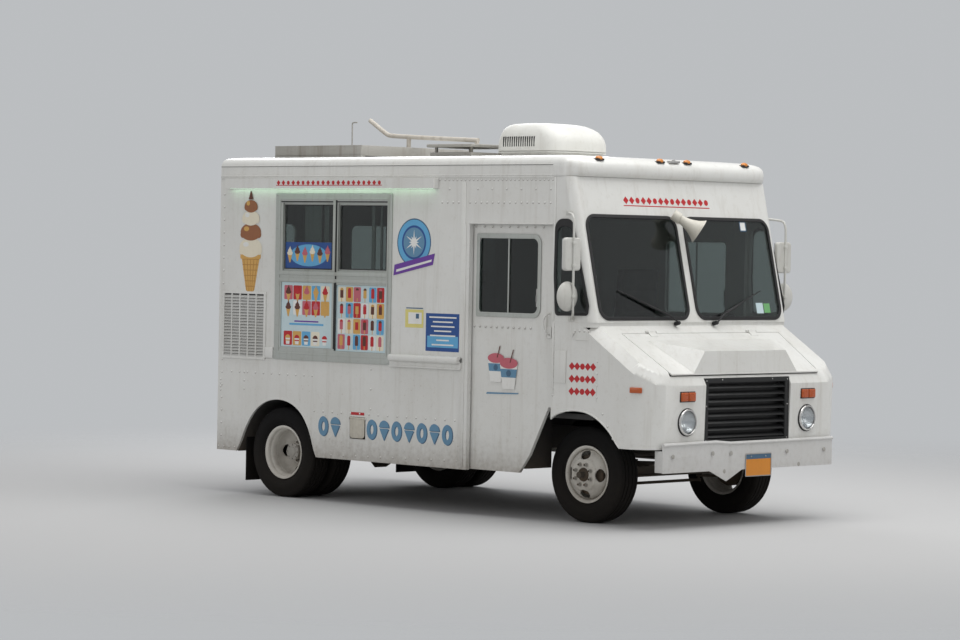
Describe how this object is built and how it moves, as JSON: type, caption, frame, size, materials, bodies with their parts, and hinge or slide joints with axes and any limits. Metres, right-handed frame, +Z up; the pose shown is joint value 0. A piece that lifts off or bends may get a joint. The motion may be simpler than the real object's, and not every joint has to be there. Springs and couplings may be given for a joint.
{
  "type": "ice cream truck",
  "caption": "Step-van ice cream truck with a serving window in its side, sliding cab doors, twin rear doors, a sloping nose and roof gear.",
  "frame": {"origin": "on the ground, under the centre of the bounding box", "axes": "+X forward, +Y to the truck's left, +Z up"},
  "size_m": [4.9811, 2.8108, 3.1787],
  "materials": {
    "body_paint": "satin, weathered",
    "frame_paint": "matt, dirty",
    "rim_paint": "satin, dirty",
    "tyre": "matt",
    "glass": "clear",
    "gasket": "matt",
    "window_metal": "dull",
    "black_metal": "satin",
    "bumper_paint": "satin, dented",
    "lens_clear": "clear",
    "lens_amber": "gloss",
    "lens_red": "gloss",
    "mirror_face": "polished",
    "steel": "satin",
    "galvanised": "dull",
    "board": "matt",
    "white_plastic": "matt",
    "black_plastic": "matt",
    "rubber": "matt",
    "iron": "raw",
    "seat": "worn",
    "horn": "matt"
  },
  "bodies": {
    "chassis": {"air_conditioner": "white_plastic", "amber_lamps": "lens_amber", "cab_glass": "glass", "cab_shell": "body_paint", "counter_ledge": "steel", "counters": "steel", "dashboard": "black_plastic", "driver_seat": "seat", "engine": "iron", "exhaust": "steel", "floor": "galvanised", "frame": "frame_paint", "front_axle": "frame_paint", "front_bumper": "bumper_paint", "fuel_tank": "frame_paint", "grille": "black_metal", "headlamps": "lens_clear", "leaf_springs": "frame_paint", "loudspeaker": "horn", "mirror_glass": "mirror_face", "mirrors": "steel", "mudflaps": "rubber", "nose": "body_paint", "rear_axle": "frame_paint", "rear_wall": "body_paint", "roof": "body_paint", "roof_gear": "galvanised", "service_light": "body_paint", "serving_glass": "glass", "serving_window_frame": "window_metal", "side_wall_left": "body_paint", "side_wall_right": "body_paint", "signs": "board", "soft_serve_machine": "steel", "tail_lamps": "lens_red", "vent_grille": "body_paint", "window_gaskets": "gasket", "wipers": "black_metal"},
    "wheel_front_left": {"wheel_front_left": "rim_paint", "tyre_front_left": "tyre"},
    "wheel_front_right": {"wheel_front_right": "rim_paint", "tyre_front_right": "tyre"},
    "wheels_rear_left": {"wheels_rear_left": "rim_paint", "tyres_rear_left": "tyre"},
    "wheels_rear_right": {"wheels_rear_right": "rim_paint", "tyres_rear_right": "tyre"},
    "knuckle_left": {"knuckle_left": "frame_paint"},
    "knuckle_right": {"knuckle_right": "frame_paint"},
    "tie_rod": {"tie_rod": "frame_paint"},
    "hood": {"hood": "body_paint"},
    "door_left": {"door_left": "body_paint", "door_glass_left": "glass"},
    "door_right": {"door_right": "body_paint", "door_glass_right": "glass"},
    "rear_door_left": {"rear_door_left": "body_paint", "rear_glass_left": "glass"},
    "rear_door_right": {"rear_door_right": "body_paint", "rear_glass_right": "glass"},
    "fuel_flap": {"fuel_flap": "body_paint"},
    "steering_wheel": {"steering_wheel": "black_plastic"}
  },
  "joints": [
    {"name": "steer_right", "type": "hinge", "parent": "chassis", "child": "knuckle_right", "pos_m": [1.61, -0.76, 0.371], "axis": [0, 0, 1], "range_deg": [-32, 32]},
    {"name": "steer_left", "type": "hinge", "parent": "chassis", "child": "knuckle_left", "pos_m": [1.61, 0.76, 0.371], "axis": [0, 0, 1], "range_deg": [-32, 32]},
    {"name": "tie_rod_swing", "type": "hinge", "parent": "knuckle_right", "child": "tie_rod", "pos_m": [1.44, -0.632, 0.263], "axis": [0, 0, 1], "range_deg": [-38.4, 38.4]},
    {"name": "steering_wheel_turn", "type": "hinge", "parent": "chassis", "child": "steering_wheel", "pos_m": [1.59, 0.59, 1.418], "axis": [-0.643, 0, 0.7659], "range_deg": [-480, 480]},
    {"name": "spin_front_left", "type": "hinge", "parent": "knuckle_left", "child": "wheel_front_left", "pos_m": [1.61, 0.8, 0.371], "axis": [0, 1, 0], "continuous": true},
    {"name": "spin_front_right", "type": "hinge", "parent": "knuckle_right", "child": "wheel_front_right", "pos_m": [1.61, -0.8, 0.371], "axis": [0, 1, 0], "continuous": true},
    {"name": "spin_rear_left", "type": "hinge", "parent": "chassis", "child": "wheels_rear_left", "pos_m": [-1.565, 0.9, 0.371], "axis": [0, 1, 0], "continuous": true},
    {"name": "spin_rear_right", "type": "hinge", "parent": "chassis", "child": "wheels_rear_right", "pos_m": [-1.565, -0.9, 0.371], "axis": [0, 1, 0], "continuous": true},
    {"name": "hood_lift", "type": "hinge", "parent": "chassis", "child": "hood", "pos_m": [1.979, 0, 1.4691], "axis": [0, -1, 0], "range_deg": [0, 65]},
    {"name": "door_left_slide", "type": "slide", "parent": "chassis", "child": "door_left", "axis": [-1, 0, 0], "range_m": [0, 0.78]},
    {"name": "door_right_slide", "type": "slide", "parent": "chassis", "child": "door_right", "axis": [-1, 0, 0], "range_m": [0, 0.78]},
    {"name": "rear_door_left_swing", "type": "hinge", "parent": "chassis", "child": "rear_door_left", "pos_m": [-2.366, 1.112, 1.5], "axis": [0, 0, -1], "range_deg": [0, 170]},
    {"name": "rear_door_right_swing", "type": "hinge", "parent": "chassis", "child": "rear_door_right", "pos_m": [-2.366, -1.112, 1.5], "axis": [0, 0, 1], "range_deg": [0, 170]},
    {"name": "fuel_flap_lift", "type": "hinge", "parent": "chassis", "child": "fuel_flap", "pos_m": [-0.636, -1.172, 0.696], "axis": [-1, 0, 0], "range_deg": [0, 100]}
  ],
  "couplings": [
    {"joint": "steer_left", "follows": "steer_right", "ratio": 1},
    {"joint": "tie_rod_swing", "follows": "steer_right", "ratio": -1.2},
    {"joint": "steering_wheel_turn", "follows": "steer_right", "ratio": 15}
  ]
}
